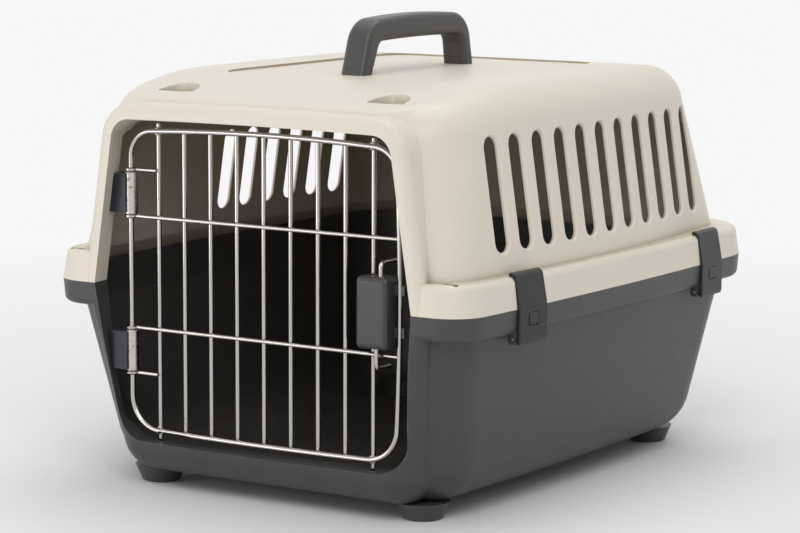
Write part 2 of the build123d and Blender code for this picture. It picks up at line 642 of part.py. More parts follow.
def make_handle():
    foot_z = ROOF_Z - RECESS_DEPTH
    half_leg = HANDLE_LEG / 2
    front_lean, back_lean = HANDLE_LEANS
    crown = HANDLE_TOP_Z - 2.5
    outer = [
        (HANDLE_FRONT_Y - half_leg, foot_z),
        (HANDLE_FRONT_Y - half_leg + front_lean, crown),
        (HANDLE_BACK_Y + half_leg - back_lean, crown),
        (HANDLE_BACK_Y + half_leg, foot_z),
    ]
    inner = [
        (HANDLE_FRONT_Y + half_leg - 1, foot_z),
        (HANDLE_FRONT_Y + half_leg + front_lean - 3, crown - HANDLE_GRIP + 1.5),
        (HANDLE_BACK_Y - half_leg - back_lean + 2 + HANDLE_BACK_TAPER, crown - HANDLE_GRIP + 1.5),
        (HANDLE_BACK_Y - half_leg + 2, foot_z),
    ]
    with BuildSketch(Plane.YZ.offset(-HANDLE_WIDTH / 2)) as sketch:
        with BuildLine():
            Line(outer[0], outer[1])
            ThreePointArc(outer[1], ((outer[1][0] + outer[2][0]) / 2, HANDLE_TOP_Z), outer[2])
            Line(outer[2], outer[3])
            Line(outer[3], inner[3])
            Line(inner[3], inner[2])
            ThreePointArc(inner[2], ((inner[1][0] + inner[2][0]) / 2, HANDLE_TOP_Z - HANDLE_GRIP), inner[1])
            Line(inner[1], inner[0])
            Line(inner[0], outer[0])
        make_face()
        fillet([v for v in sketch.vertices() if abs(v.Y - inner[1][1]) < 0.5], 8)
        fillet([v for v in sketch.vertices() if v.Y > HANDLE_TOP_Z - 6], 21)
    handle = extrude(sketch.sketch.face(), HANDLE_WIDTH)
    long_edges = [
        e for e in handle.edges()
        if e.center().Z > foot_z + 0.5 and abs(e.center().X) > HANDLE_WIDTH / 2 - 0.1
    ]
    handle = fillet(long_edges, HANDLE_EDGE_RADIUS)
    for y in (HANDLE_FRONT_Y, HANDLE_BACK_Y):
        seam_z = foot_z + HANDLE_GROOVE_Z
        band = block((-20, 20), (y - 12, y + 12), (seam_z - 0.25, seam_z + 0.25))
        core_x = (-HANDLE_WIDTH / 2 + 0.5, HANDLE_WIDTH / 2 - 0.5)
        core = block(core_x, (y - 5, y + 5.2), (seam_z - 1, seam_z + 1))
        handle = handle - (band - core)
        stem = block((-TENON[0] / 2, TENON[0] / 2), (y - TENON[1] / 2, y + TENON[1] / 2),
                     (foot_z - TENON_LENGTH, foot_z + 0.5))
        barb_top = foot_z - WALL
        barb = loft_between(
            Pos(0, y, barb_top - 4.5) * Rectangle(TENON[0] - 1.5, TENON[1] - 1).face(),
            Pos(0, y, barb_top) * Rectangle(TENON[0] + 2 * TENON_BARB, TENON[1]).face(),
        )
        handle = handle + stem + barb
    return handle


# ================= side clips =================

def make_clip():
    """One over-centre clip in its own frame, closed."""
    back = -CLIP_RECESS + CLIP_GAP
    ledge = LEDGE_Z + CLIP_GAP
    bx = CLIP_BARREL_X
    bz = CLIP_BARREL_Z
    outline = [
        (-CLIP_HOOK_REACH, ledge),
        (-CLIP_HOOK_REACH, ledge + 2.0),
        (-CLIP_RECESS - 0.8, ledge + 2.6),
        (CLIP_PROUD, SEAM_Z),
        (CLIP_PROUD, bz),
        (back, bz),
        (back, SEAM_Z),
        (back - RIM_DRAFT - 0.3, ledge),
    ]
    with BuildSketch(Plane.XZ.offset(-CLIP_WIDTH / 2)) as sketch:
        with BuildLine():
            Polyline(*outline, close=True)
        make_face()
        fillet([v for v in sketch.vertices() if abs(v.Y - ledge - 2.0) < 0.05], 0.9)
        fillet([v for v in sketch.vertices() if abs(v.Y - ledge) < 0.05 and v.X > -6], 0.9)
        fillet([v for v in sketch.vertices() if abs(v.Y - ledge - 2.6) < 0.05], 4.0)
        fillet([v for v in sketch.vertices() if abs(v.Y - SEAM_Z) < 0.05], 40)
    clip = extrude(sketch.sketch.face(), CLIP_WIDTH)
    with BuildSketch(Plane.XZ.offset(-CLIP_WIDTH / 2)) as curl:
        with Locations((bx, bz)):
            Circle(CLIP_PROUD - bx)
            Circle(back - bx, mode=Mode.SUBTRACT)
        with BuildLine():
            reach = 30
            Polyline((bx, bz), (bx + reach, bz), (bx + reach, bz - 0.62 * reach), close=True)
        make_face(mode=Mode.INTERSECT)
    clip = clip + extrude(curl.sketch.face(), CLIP_WIDTH)
    barrel = Pos(bx, 0, bz) * Rot(90, 0, 0) * Cylinder(CLIP_BARREL_RADIUS, CLIP_BARREL_LENGTH)
    clip = clip + barrel
    bore = Pos(bx, 0, bz) * Rot(90, 0, 0) * Cylinder(CLIP_PIN_RADIUS + CLIP_PIN_FIT, CLIP_WIDTH + 4)
    clip = clip - bore
    side_edges = [
        e for e in clip.edges()
        if abs(abs(e.center().Y) - CLIP_WIDTH / 2) < 0.05 and e.bounding_box().max.X > CLIP_PROUD - 5.5
        and e.center().X > -3.4 and e.center().X > back + 0.4
    ]
    clip = fillet(side_edges, 0.8)
    pad_z = SEAM_Z - 7.0
    with BuildSketch(Plane.YZ.offset(CLIP_PROUD - 0.7)) as ring:
        with Locations((0, pad_z)):
            RectangleRounded(CLIP_PAD[0] + 1.4, CLIP_PAD[1] + 1.4, 2.0)
            RectangleRounded(*CLIP_PAD, 1.4, mode=Mode.SUBTRACT)
    clip = clip - extrude(ring.sketch, 4)
    with BuildSketch(Plane.YZ.offset(CLIP_PROUD - 0.8)) as pad:
        with Locations((0, pad_z)):
            RectangleRounded(*CLIP_PAD, 1.4)
    pad_solid = extrude(pad.sketch, 1.3)
    pad_solid = chamfer(pad_solid.faces().sort_by(Axis.X)[-1].edges(), 0.35)
    return clip + pad_solid


def make_clip_pin():
    length = CLIP_BARREL_LENGTH + 2 * (LUG_GAP + LUG_THICKNESS)
    pin = Pos(CLIP_BARREL_X, 0, CLIP_BARREL_Z) * Rot(90, 0, 0) * Cylinder(CLIP_PIN_RADIUS, length)
    return chamfer(pin.edges().filter_by(GeomType.CIRCLE), 0.3)


# ================= wire door =================

def frame_path():
    left = FRAME_LEFT
    right = FRAME_CORNER_RIGHT
    with BuildSketch(Plane.XZ.offset(-DOOR_Y)) as sketch:
        with BuildLine():
            Line((left, FRAME_BOTTOM), (left, FRAME_TOP))
            ThreePointArc((left, FRAME_TOP), (0, FRAME_TOP_MIDDLE), (right, FRAME_TOP))
            ThreePointArc((right, FRAME_TOP), (FRAME_MIDDLE_RIGHT, (FRAME_TOP + FRAME_BOTTOM) / 2),
                          (right, FRAME_BOTTOM))
            ThreePointArc((right, FRAME_BOTTOM), (0, FRAME_BOTTOM_MIDDLE), (left, FRAME_BOTTOM))
        make_face()
        fillet([v for v in sketch.vertices() if v.Y > 150], FRAME_CORNER_TOP)
        fillet([v for v in sketch.vertices() if v.Y < 100 and v.Y > 0], FRAME_CORNER_BOTTOM)
    return sketch.sketch.face().outer_wire()


def bow(x, edge_z, middle_z):
    """Height of the arched top or bottom wire over one place."""
    return middle_z + (edge_z - middle_z) * (x / FRAME_CORNER_RIGHT) ** 2


def frame_right(z):
    """Where the bowed right-hand wire is at one height."""
    middle = (FRAME_TOP + FRAME_BOTTOM) / 2
    share = (z - middle) / (FRAME_TOP - middle)
    return FRAME_MIDDLE_RIGHT + (FRAME_CORNER_RIGHT - FRAME_MIDDLE_RIGHT) * share**2


def frame_wire():
    path = frame_path()
    start = Plane(origin=path @ 0, z_dir=path % 0)
    return sweep(start * Circle(FRAME_RADIUS), path=path)


def make_door_frame(wire):
    frame = wire
    for x in (BAR_FIRST_X, BOLT_X):
        for z in (bow(x, FRAME_TOP, FRAME_TOP_MIDDLE), bow(x, FRAME_BOTTOM, FRAME_BOTTOM_MIDDLE)):
            y = DOOR_Y + ROD_SET_BACK
            collar = rod(x, y, z - COLLAR_LENGTH / 2, z + COLLAR_LENGTH / 2, COLLAR_RADIUS)
            frame = frame + chamfer(collar.edges().filter_by(GeomType.CIRCLE), 0.5)
            frame = frame - rod(x, y, z - COLLAR_LENGTH, z + COLLAR_LENGTH, BAR_RADIUS + COLLAR_FIT)
    return frame


def make_bar(index):
    x = BAR_FIRST_X + BAR_PITCH * index
    top = bow(x, FRAME_TOP, FRAME_TOP_MIDDLE) + 0.5
    bottom = bow(x, FRAME_BOTTOM, FRAME_BOTTOM_MIDDLE) - 0.5
    bar = rod(x, DOOR_Y + BAR_SET_BACK, bottom, top, BAR_RADIUS)
    return chamfer(bar.edges().filter_by(GeomType.CIRCLE), 0.5)


def make_hinge_bar():
    bar = rod(BAR_FIRST_X, DOOR_Y + ROD_SET_BACK, ROD_BOTTOM, ROD_TOP, BAR_RADIUS)
    return chamfer(bar.edges().filter_by(GeomType.CIRCLE), 0.5)


def make_eyed_wire(z, set_back, end_x):
    """Cross wire whose left end is curled into an eye round the frame."""
    eye = rod(FRAME_LEFT, DOOR_Y, z - EYE_HEIGHT / 2, z + EYE_HEIGHT / 2, EYE_RADIUS)
    eye = chamfer(eye.edges().filter_by(GeomType.CIRCLE), 0.7)
    start = FRAME_LEFT + EYE_RADIUS - 1.4
    length = end_x - start
    straight = Pos(start + length / 2, DOOR_Y + set_back, z) * Rot(0, 90, 0) * Cylinder(CROSS_RADIUS, length)
    wire = eye + straight
    return wire - rod(FRAME_LEFT, DOOR_Y, z - 5, z + 5, FRAME_RADIUS)


# ================= hinge =================

def make_sleeve(span):
    sleeve = rod(FRAME_LEFT, DOOR_Y, span[0], span[1], SLEEVE_RADIUS)
    sleeve = chamfer(sleeve.edges().filter_by(GeomType.CIRCLE), 0.4)
    sleeve = sleeve - rod(FRAME_LEFT, DOOR_Y, span[0] - 1, span[1] + 1, FRAME_RADIUS + SLEEVE_FIT)
    slit = block((0, 8), (-SLEEVE_SLIT / 2, SLEEVE_SLIT / 2), (span[0] - 1, span[1] + 1))
    return sleeve - Pos(FRAME_LEFT, DOOR_Y, 0) * Rot(0, 0, 62) * slit


def make_bracket(span):
    """Cradle on the doorway's left side that grips a hinge sleeve."""
    cradle = block((-WIDTH / 2, BRACKET_RIGHT), (BRACKET_FRONT, BRACKET_BACK), span)
    edges = [e for e in cradle.edges() if e.center().X > BRACKET_RIGHT - 0.1]
    cradle = fillet(edges, 1.0)
    cradle = cradle & opening_air()
    bore = rod(FRAME_LEFT, DOOR_Y, span[0] - 1, span[1] + 1, SLEEVE_RADIUS)
    mouth = block((FRAME_LEFT, 0), (BRACKET_FRONT - 1, DOOR_Y), (span[0] - 1, span[1] + 1))
    return cradle - bore - mouth


# ================= latch =================

def housing_form(wall):
    x = (HOUSING_X[0] + wall, HOUSING_X[1] - wall)
    y = (HOUSING_Y[0] + wall, HOUSING_Y[1] - wall)
    z = (HOUSING_Z[0] + wall, HOUSING_Z[1] - wall)
    return fillet(block(x, y, z).edges(), max(HOUSING_RADIUS - wall, 0.8))


def rod_notch(x, y, z0, z1):
    """Way for a rod, open towards the parting of the housing."""
    radius = BAR_RADIUS + ROD_CLEAR
    low, high = sorted((y, HOUSING_PARTING))
    return rod(x, y, z0, z1, radius) + block((x - radius, x + radius), (low, high), (z0, z1))


def make_housing_halves(wire):
    shell = housing_form(0) - housing_form(HOUSING_WALL)
    around = (HOUSING_X[0] - 5, HOUSING_X[1] + 20)
    tall = (HOUSING_Z[0] - 5, HOUSING_Z[1] + 5)
    divider = housing_form(0.5) & block(
        around, (HOUSING_Y[0] - 5, HOUSING_Y[1] + 5), (HOUSING_DIVIDER - 1, HOUSING_DIVIDER + 1))
    shell = shell + divider
    for z0, z1, thumb_x in ((HOUSING_Z[1] - 6, HOUSING_Z[1] + 2, UPPER_THUMB_X),
                            (HOUSING_Z[0] - 2, HOUSING_Z[0] + 6, LOWER_THUMB_X)):
        shell = shell - rod_notch(BOLT_X, DOOR_Y + ROD_SET_BACK, z0, z1) - rod_notch(thumb_x, THUMB_Y, z0, z1)
    front = shell & block(around, (HOUSING_Y[0] - 5, HOUSING_PARTING), tall)
    back = shell & block(around, (HOUSING_PARTING, HOUSING_Y[1] + 5), tall)
    for z in HOOK_ZS:
        x = frame_right(z)
        hook = rod(x, DOOR_Y, z - HOOK_HEIGHT / 2, z + HOOK_HEIGHT / 2, HOOK_RADIUS)
        span = (z - HOOK_HEIGHT / 2, z + HOOK_HEIGHT / 2)
        arm = block((HOUSING_X[1] - 1.5, x), (DOOR_Y, DOOR_Y + HOOK_RADIUS), span)
        hook = (hook + arm) - block(around, (HOUSING_Y[0] - 5, DOOR_Y - 0.9), tall)
        back = back + hook
    inside = housing_form(HOUSING_WALL) - divider
    back = back - inside - wire
    front = front - wire
    return front, back


def make_upper_bolt():
    y = DOOR_Y + ROD_SET_BACK
    points = [
        (BOLT_X, y, ROD_TOP),
        (BOLT_X, y, UPPER_CRANK_Z),
        (UPPER_THUMB_X, THUMB_Y, UPPER_CRANK_Z),
        (UPPER_THUMB_X, THUMB_Y, UPPER_THUMB_Z),
        (UPPER_THUMB_X, UPPER_THUMB_END, UPPER_THUMB_Z),
    ]
    return round_tips(bent_wire(points, BAR_RADIUS))


def make_lower_bolt():
    y = DOOR_Y + ROD_SET_BACK
    points = [
        (BOLT_X, y, ROD_BOTTOM),
        (BOLT_X, y, LOWER_CRANK_Z),
        (LOWER_THUMB_X, THUMB_Y, LOWER_CRANK_Z),
        (LOWER_THUMB_X, THUMB_Y, LOWER_THUMB_Z),
        (LOWER_THUMB_X, LOWER_THUMB_END, LOWER_THUMB_Z),
    ]
    return round_tips(bent_wire(points, BAR_RADIUS))


def round_tips(wire):
    ends = [f for f in wire.faces() if f.geom_type == GeomType.PLANE]
    edges = [e for f in ends for e in f.edges()]
    return chamfer(edges, 0.4)


def make_spring(thumb_x, z0, z1):
    """Coil between the housing's divider and a bolt's crank."""
    x = (BOLT_X + thumb_x) / 2
    y = (DOOR_Y + ROD_SET_BACK + THUMB_Y) / 2
    height = z1 - z0 - SPRING_WIRE
    helix = Helix(pitch=height / SPRING_TURNS, height=height, radius=SPRING_RADIUS)
    helix = Pos(x, y, z0 + SPRING_WIRE / 2) * helix
    start = Plane(origin=helix @ 0, z_dir=helix % 0, x_dir=(1, 0, 0))
    coil = sweep(start * Rectangle(SPRING_WIRE, SPRING_WIRE), path=helix, is_frenet=True)
    return coil


# ================= write the parts =================

def all_parts():
    wire = frame_wire()
    housing_front, housing_back = make_housing_halves(wire)
    crank_reach = BAR_RADIUS + SPRING_SEAT
    parts = {
        "bottom_tray": make_tray(),
        "top_shell": make_top_shell(),
        "carry_handle": make_handle(),
        "door_frame": make_door_frame(wire),
        "door_bar_1": make_hinge_bar(),
        "hinge_sleeve_upper": make_sleeve(SLEEVE_SPANS[0]),
        "hinge_sleeve_lower": make_sleeve(SLEEVE_SPANS[1]),
        "hinge_bracket_upper": make_bracket(BRACKET_SPANS[0]),
        "hinge_bracket_lower": make_bracket(BRACKET_SPANS[1]),
        "latch_housing_front": housing_front,
        "latch_housing_back": housing_back,
        "upper_bolt": make_upper_bolt(),
        "lower_bolt": make_lower_bolt(),
        "upper_spring": make_spring(UPPER_THUMB_X, HOUSING_DIVIDER + 1, UPPER_CRANK_Z - crank_reach),
        "lower_spring": make_spring(LOWER_THUMB_X, LOWER_CRANK_Z + crank_reach, HOUSING_DIVIDER - 1),
    }
    for index in range(1, BAR_COUNT):
        parts[f"door_bar_{index + 1}"] = make_bar(index)
    for name, z in zip(("upper", "lower"), CROSS_ZS):
        parts[f"{name}_cross_wire"] = make_eyed_wire(z, CROSS_SET_BACK, frame_right(z) - FRAME_RADIUS + 0.3)
    for name, z in zip(("upper", "lower"), STUB_ZS):
        parts[f"{name}_stub_wire"] = make_eyed_wire(z, STUB_SET_BACK, BAR_FIRST_X)
    clip = make_clip()
    pin = make_clip_pin()
    for place, y in zip(("front", "rear"), CLIP_YS):
        for name, shape in (("side_clip", clip), ("clip_pin", pin)):
            right = clip_place(y) * shape
            parts[f"{name}_{place}_right"] = right
            parts[f"{name}_{place}_left"] = mirrored(right)
    return parts


os.makedirs("parts", exist_ok=True)
for name, shape in all_parts().items():
    export_step(shape, f"parts/{name}.step")
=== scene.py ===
import bpy
import math
from mathutils import Matrix, Vector


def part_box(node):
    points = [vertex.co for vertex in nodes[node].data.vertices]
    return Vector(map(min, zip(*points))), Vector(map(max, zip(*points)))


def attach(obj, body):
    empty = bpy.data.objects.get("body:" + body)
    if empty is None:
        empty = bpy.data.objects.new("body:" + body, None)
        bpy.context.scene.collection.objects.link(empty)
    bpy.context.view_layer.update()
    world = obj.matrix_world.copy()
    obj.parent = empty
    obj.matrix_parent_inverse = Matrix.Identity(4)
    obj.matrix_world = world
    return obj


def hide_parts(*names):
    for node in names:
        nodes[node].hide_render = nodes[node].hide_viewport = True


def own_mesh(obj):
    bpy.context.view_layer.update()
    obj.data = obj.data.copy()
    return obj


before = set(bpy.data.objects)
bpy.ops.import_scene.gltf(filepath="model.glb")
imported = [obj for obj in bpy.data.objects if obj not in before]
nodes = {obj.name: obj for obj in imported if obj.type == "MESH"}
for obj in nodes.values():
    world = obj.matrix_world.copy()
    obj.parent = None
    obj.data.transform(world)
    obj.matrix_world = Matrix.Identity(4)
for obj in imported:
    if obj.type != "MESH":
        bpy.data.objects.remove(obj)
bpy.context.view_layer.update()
scene = bpy.context.scene

# The carrier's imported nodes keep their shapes. This file gives them their finishes, replaces the two
# coils in the latch housing, and sets the floor, the lamps and the camera. All in metres.

# ---- what each finish is made of ----

CREAM = (0.722, 0.655, 0.560)
# Painted shade: the cream is darkened to this colour far inside the cabin, where its walls shut out the
# light.
CREAM_PAINTED_SHADE = (0.235, 0.170, 0.055)     # the cream as it looks far inside the cabin
TRAY_GREY = (0.050, 0.050, 0.050)
CLIP_GREY = (0.016, 0.017, 0.018)
HANDLE_GREY = (0.048, 0.047, 0.046)
LATCH_GREY = (0.036, 0.036, 0.037)
BRACKET_BLUE = (0.009, 0.011, 0.019)
WIRE_NICKEL = (0.50, 0.475, 0.45)
SLEEVE_TIN = (0.56, 0.525, 0.48)
SPRING_STEEL = (0.40, 0.39, 0.38)
RUST = (0.150, 0.062, 0.026)
RUB_GREY = (0.145, 0.145, 0.143)       # grey plastic where handling has rubbed its edges pale
RUB_CREAM = (0.800, 0.755, 0.685)
DUST = (0.420, 0.395, 0.350)
DUST_DULLING = 0.5        # roughness that full dust or rust adds
RUST_DULLING = 0.45
MOULD_RELIEF = 0.0004     # depth of the moulded grain
PLATING_RELIEF = 0.00002
PLATING_BUMP = 0.02
PLATING_GRAIN = 2600.0    # scales of grain and noise, in cells to the metre
FINE_NOISE = 420.0
DRIFT_NOISE = 14.0
RUB_NOISE = 95.0
CLUSTER_NOISE = 55.0
RUB_TURN = (0.995, 0.88)  # agreement of rounded and flat normal, at no rub and at full rub
DUST_SLOPE = (0.45, 0.95) # height of the face's normal, at no dust and at full dust


def new_group(name, inputs, outputs):
    """Shader node group with named sockets; gives its tree, way in, way out and object coordinates."""
    group = bpy.data.node_groups.new(name, "ShaderNodeTree")
    for label, kind, start in inputs:
        socket = group.interface.new_socket(name=label, in_out="INPUT", socket_type="NodeSocket" + kind)
        socket.default_value = start
    for label, kind in outputs:
        group.interface.new_socket(name=label, in_out="OUTPUT", socket_type="NodeSocket" + kind)
    enter = group.nodes.new("NodeGroupInput")
    leave = group.nodes.new("NodeGroupOutput")
    place = group.nodes.new("ShaderNodeTexCoord").outputs["Object"]
    return group, enter.outputs, leave.inputs, place


def feed(tree, socket, value):
    """Link a socket to another one, or set it to a plain value."""
    if isinstance(value, bpy.types.NodeSocket):
        tree.links.new(value, socket)
    else:
        socket.default_value = value


def noise(tree, place, scale, detail=3.0):
    """Soft noise over the object's own coordinates."""
    node = tree.nodes.new("ShaderNodeTexNoise")
    tree.links.new(place, node.inputs["Vector"])
    feed(tree, node.inputs["Scale"], scale)
    node.inputs["Detail"].default_value = detail
    return node.outputs["Fac"]


def math_node(tree, operation, first, second, third=0.0):
    """One sum on sockets or plain values."""
    node = tree.nodes.new("ShaderNodeMath")
    node.operation = operation
    feed(tree, node.inputs[0], first)
    feed(tree, node.inputs[1], second)
    feed(tree, node.inputs[2], third)
    return node.outputs[0]


def ramp(tree, value, low, high, start=0.0, end=1.0):
    """Map a value from low..high onto start..end, held at both ends."""
    node = tree.nodes.new("ShaderNodeMapRange")
    feed(tree, node.inputs["Value"], value)
    feed(tree, node.inputs["From Min"], low)
    feed(tree, node.inputs["From Max"], high)
    feed(tree, node.inputs["To Min"], start)
    feed(tree, node.inputs["To Max"], end)
    return node.outputs["Result"]


MIX_FIRST = 6             # places of the Mix node's colour sockets, which share their names with others
MIX_SECOND = 7
MIX_RESULT = 2


def blend(tree, factor, first, second):
    """Second colour over the first, by the factor."""
    node = tree.nodes.new("ShaderNodeMix")
    node.data_type = "RGBA"
    feed(tree, node.inputs["Factor"], factor)
    feed(tree, node.inputs[MIX_FIRST], first)
    feed(tree, node.inputs[MIX_SECOND], second)
    return node.outputs[MIX_RESULT]


def colour(rgb):
    """The same colour with full alpha."""
    return (*rgb, 1.0)


# ---- effects that several finishes share ----

def make_mould_grain():
    """Leathery spark-eroded grain of moulded plastic, with a slow drift of its colour."""
    group, given, out, place = new_group(
        "mould_grain",
        (("Colour", "Color", colour((0.5, 0.5, 0.5))), ("Drift", "Float", 0.05),
         ("Grain Scale", "Float", 1800.0), ("Smooth", "Float", 0.35), ("Rough", "Float", 0.5)),
        (("Colour", "Color"), ("Roughness", "Float"), ("Height", "Float")))
    cells = group.nodes.new("ShaderNodeTexVoronoi")
    cells.feature = "SMOOTH_F1"
    group.links.new(place, cells.inputs["Vector"])
    group.links.new(given["Grain Scale"], cells.inputs["Scale"])
    fine = noise(group, place, FINE_NOISE)
    swing = math_node(group, "SUBTRACT", noise(group, place, DRIFT_NOISE, 5.0), 0.5)
    amount = math_node(group, "MULTIPLY_ADD", swing, given["Drift"], 1.0)
    tint = group.nodes.new("ShaderNodeVectorMath")
    tint.operation = "SCALE"
    group.links.new(given["Colour"], tint.inputs[0])
    group.links.new(amount, tint.inputs["Scale"])
    group.links.new(tint.outputs[0], out["Colour"])
    group.links.new(ramp(group, fine, 0.3, 0.7, given["Smooth"], given["Rough"]), out["Roughness"])
    group.links.new(math_node(group, "MULTIPLY_ADD", fine, 0.6, cells.outputs["Distance"]), out["Height"])
    return group


def make_edge_rub():
    """1 along the edges that hands and tables rub, broken up where the rub is light."""
    group, given, out, place = new_group(
        "edge_rub", (("Reach", "Float", 0.0012), ("Amount", "Float", 0.5)), (("Mask", "Float"),))
    rounded = group.nodes.new("ShaderNodeBevel")
    rounded.samples = 4
    group.links.new(given["Reach"], rounded.inputs["Radius"])
    face = group.nodes.new("ShaderNodeNewGeometry")
    match = group.nodes.new("ShaderNodeVectorMath")
    match.operation = "DOT_PRODUCT"
    group.links.new(rounded.outputs["Normal"], match.inputs[0])
    group.links.new(face.outputs["Normal"], match.inputs[1])
    edge = ramp(group, match.outputs["Value"], *RUB_TURN)
    broken = ramp(group, noise(group, place, RUB_NOISE, 6.0), 0.40, 0.66)
    rubbed = math_node(group, "MULTIPLY", edge, broken)
    group.links.new(math_node(group, "MULTIPLY", rubbed, given["Amount"]), out["Mask"])
    return group


def make_settled_dust():
    """Thin dust on the faces that look up, thicker in patches."""
    group, given, out, place = new_group(
        "settled_dust", (("Amount", "Float", 0.08), ("Patch Scale", "Float", 22.0)), (("Mask", "Float"),))
    face = group.nodes.new("ShaderNodeNewGeometry")
    split = group.nodes.new("ShaderNodeSeparateXYZ")
    group.links.new(face.outputs["Normal"], split.inputs[0])
    upward = ramp(group, split.outputs["Z"], *DUST_SLOPE)
    patch = ramp(group, noise(group, place, given["Patch Scale"], 7.0), 0.35, 0.75)
    dusty = math_node(group, "MULTIPLY", upward, patch)
    group.links.new(math_node(group, "MULTIPLY", dusty, given["Amount"]), out["Mask"])
    return group


def make_cabin_painted_shade():
    """Painted shade mask: 0 on open outer faces, rising to 1 on faces that the piece's own walls shut in.
    """
    group, given, out, _ = new_group(
        "cabin_painted_shade", (("Reach", "Float", 0.80), ("Open", "Float", 0.75), ("Shut", "Float", 0.35)),
        (("Mask", "Float"),))
    # How far the piece's own walls shut a face in decides how much painted shade it gets.
    shut_in = group.nodes.new("ShaderNodeAmbientOcclusion")
    shut_in.only_local = True
    shut_in.samples = 8
    group.links.new(given["Reach"], shut_in.inputs["Distance"])
    group.links.new(ramp(group, shut_in.outputs["AO"], given["Open"], given["Shut"]), out["Mask"])
    return group


def make_rust_specks():
    """Small brown specks, in clusters, where plating has gone."""
    group, given, out, place = new_group(
        "rust_specks", (("Speck Scale", "Float", 420.0), ("Amount", "Float", 0.5)), (("Mask", "Float"),))
    specks = ramp(group, noise(group, place, given["Speck Scale"], 4.0), 0.58, 0.66)
    clusters = ramp(group, noise(group, place, CLUSTER_NOISE, 2.0), 0.42, 0.60)
    rusty = math_node(group, "MULTIPLY", specks, clusters)
    group.links.new(math_node(group, "MULTIPLY", rusty, given["Amount"]), out["Mask"])
    return group


mould_grain = make_mould_grain()
edge_rub = make_edge_rub()
settled_dust = make_settled_dust()
cabin_painted_shade = make_cabin_painted_shade()
rust_specks = make_rust_specks()


def add_group(tree, group, **values):
    """Place a shared effect in a material with its own values; gives its outputs."""
    node = tree.nodes.new("ShaderNodeGroup")
    node.node_tree = group
    for name, value in values.items():
        feed(tree, node.inputs[name.replace("_", " ")], value)
    return node.outputs


def new_material(name):
    """Empty material with one surface shader."""
    material = bpy.data.materials.new(name)
    material.use_nodes = True
    tree = material.node_tree
    tree.nodes.clear()
    surface = tree.nodes.new("ShaderNodeBsdfPrincipled")
    output = tree.nodes.new("ShaderNodeOutputMaterial")
    tree.links.new(surface.outputs["BSDF"], output.inputs["Surface"])
    return material, tree, surface


def add_bump(tree, surface, height, strength, distance):
    """Give the surface a fine relief from a height value."""
    bump = tree.nodes.new("ShaderNodeBump")
    bump.inputs["Strength"].default_value = strength
    bump.inputs["Distance"].default_value = distance
    tree.links.new(height, bump.inputs["Height"])
    tree.links.new(bump.outputs["Normal"], surface.inputs["Normal"])


def moulded_plastic(name, base, rubbed, shade_colour=None, drift=0.05, smooth=0.34, rough=0.46, grain=1800.0,
                    relief=0.05, rub=0.5, dust=0.08, gleam=0.5):
    """Moulded plastic with grain, rubbed edges and settled dust; a colour given for far inside is painted
    shade, laid on faces that the piece's own walls shut in.
    """
    material, tree, surface = new_material(name)
    surface.inputs["Specular IOR Level"].default_value = gleam
    start = colour(base)
    if shade_colour:
        # Painted shade: the colour darkens far inside, on faces that the piece's own walls shut in.
        shade_mask = add_group(tree, cabin_painted_shade)["Mask"]
        start = blend(tree, shade_mask, start, colour(shade_colour))
    texture = add_group(tree, mould_grain, Colour=start, Drift=drift, Grain_Scale=grain,
                        Smooth=smooth, Rough=rough)
    rub_mask = add_group(tree, edge_rub, Amount=rub)["Mask"]
    dust_mask = add_group(tree, settled_dust, Amount=dust)["Mask"]
    face = blend(tree, rub_mask, texture["Colour"], colour(rubbed))
    face = blend(tree, dust_mask, face, colour(DUST))
    tree.links.new(face, surface.inputs["Base Color"])
    dulled = math_node(tree, "MULTIPLY_ADD", dust_mask, DUST_DULLING, texture["Roughness"])
    tree.links.new(dulled, surface.inputs["Roughness"])
    add_bump(tree, surface, texture["Height"], relief, MOULD_RELIEF)
    return material


def plated_steel(name, base, smooth, rough, rust=0.25, drift=0.10):
    """Drawn and plated steel, with faint clouding and a few rust specks."""
    material, tree, surface = new_material(name)
    surface.inputs["Metallic"].default_value = 1.0
    texture = add_group(tree, mould_grain, Colour=colour(base), Drift=drift, Grain_Scale=PLATING_GRAIN,
                        Smooth=smooth, Rough=rough)
    specks = add_group(tree, rust_specks, Amount=rust)["Mask"]
    tree.links.new(blend(tree, specks, texture["Colour"], colour(RUST)), surface.inputs["Base Color"])
    dulled = math_node(tree, "MULTIPLY_ADD", specks, RUST_DULLING, texture["Roughness"])
    tree.links.new(dulled, surface.inputs["Roughness"])
    add_bump(tree, surface, texture["Height"], PLATING_BUMP, PLATING_RELIEF)
    return material


# The cream shell gets painted shade inside its cabin.
cream = moulded_plastic("cream_shell_plastic", CREAM, RUB_CREAM, CREAM_PAINTED_SHADE, drift=0.05, smooth=0.36,
                        rough=0.46, rub=0.4, dust=0.05)
tray_grey = moulded_plastic("tray_plastic", TRAY_GREY, RUB_GREY, drift=0.14, smooth=0.38, rough=0.50,
                            relief=0.10, rub=0.6, dust=0.05)
clip_grey = moulded_plastic("clip_plastic", CLIP_GREY, RUB_GREY, drift=0.10, smooth=0.30, rough=0.42,
                            rub=0.7, gleam=0.33)
handle_grey = moulded_plastic("handle_plastic", HANDLE_GREY, RUB_GREY, drift=0.12, smooth=0.32, rough=0.44,
                              relief=0.08, rub=0.6)
latch_grey = moulded_plastic("latch_plastic", LATCH_GREY, RUB_GREY, drift=0.10, smooth=0.28, rough=0.40,
                             rub=0.7)
bracket_blue = moulded_plastic("bracket_plastic", BRACKET_BLUE, RUB_GREY, drift=0.15, smooth=0.34,
                               rough=0.48, rub=0.4)
wire_nickel = plated_steel("plated_wire", WIRE_NICKEL, 0.12, 0.18, rust=0.18, drift=0.06)
sleeve_tin = plated_steel("rolled_sleeve", SLEEVE_TIN, 0.17, 0.27, rust=0.85, drift=0.20)
spring_steel = plated_steel("spring_steel", SPRING_STEEL, 0.22, 0.36)

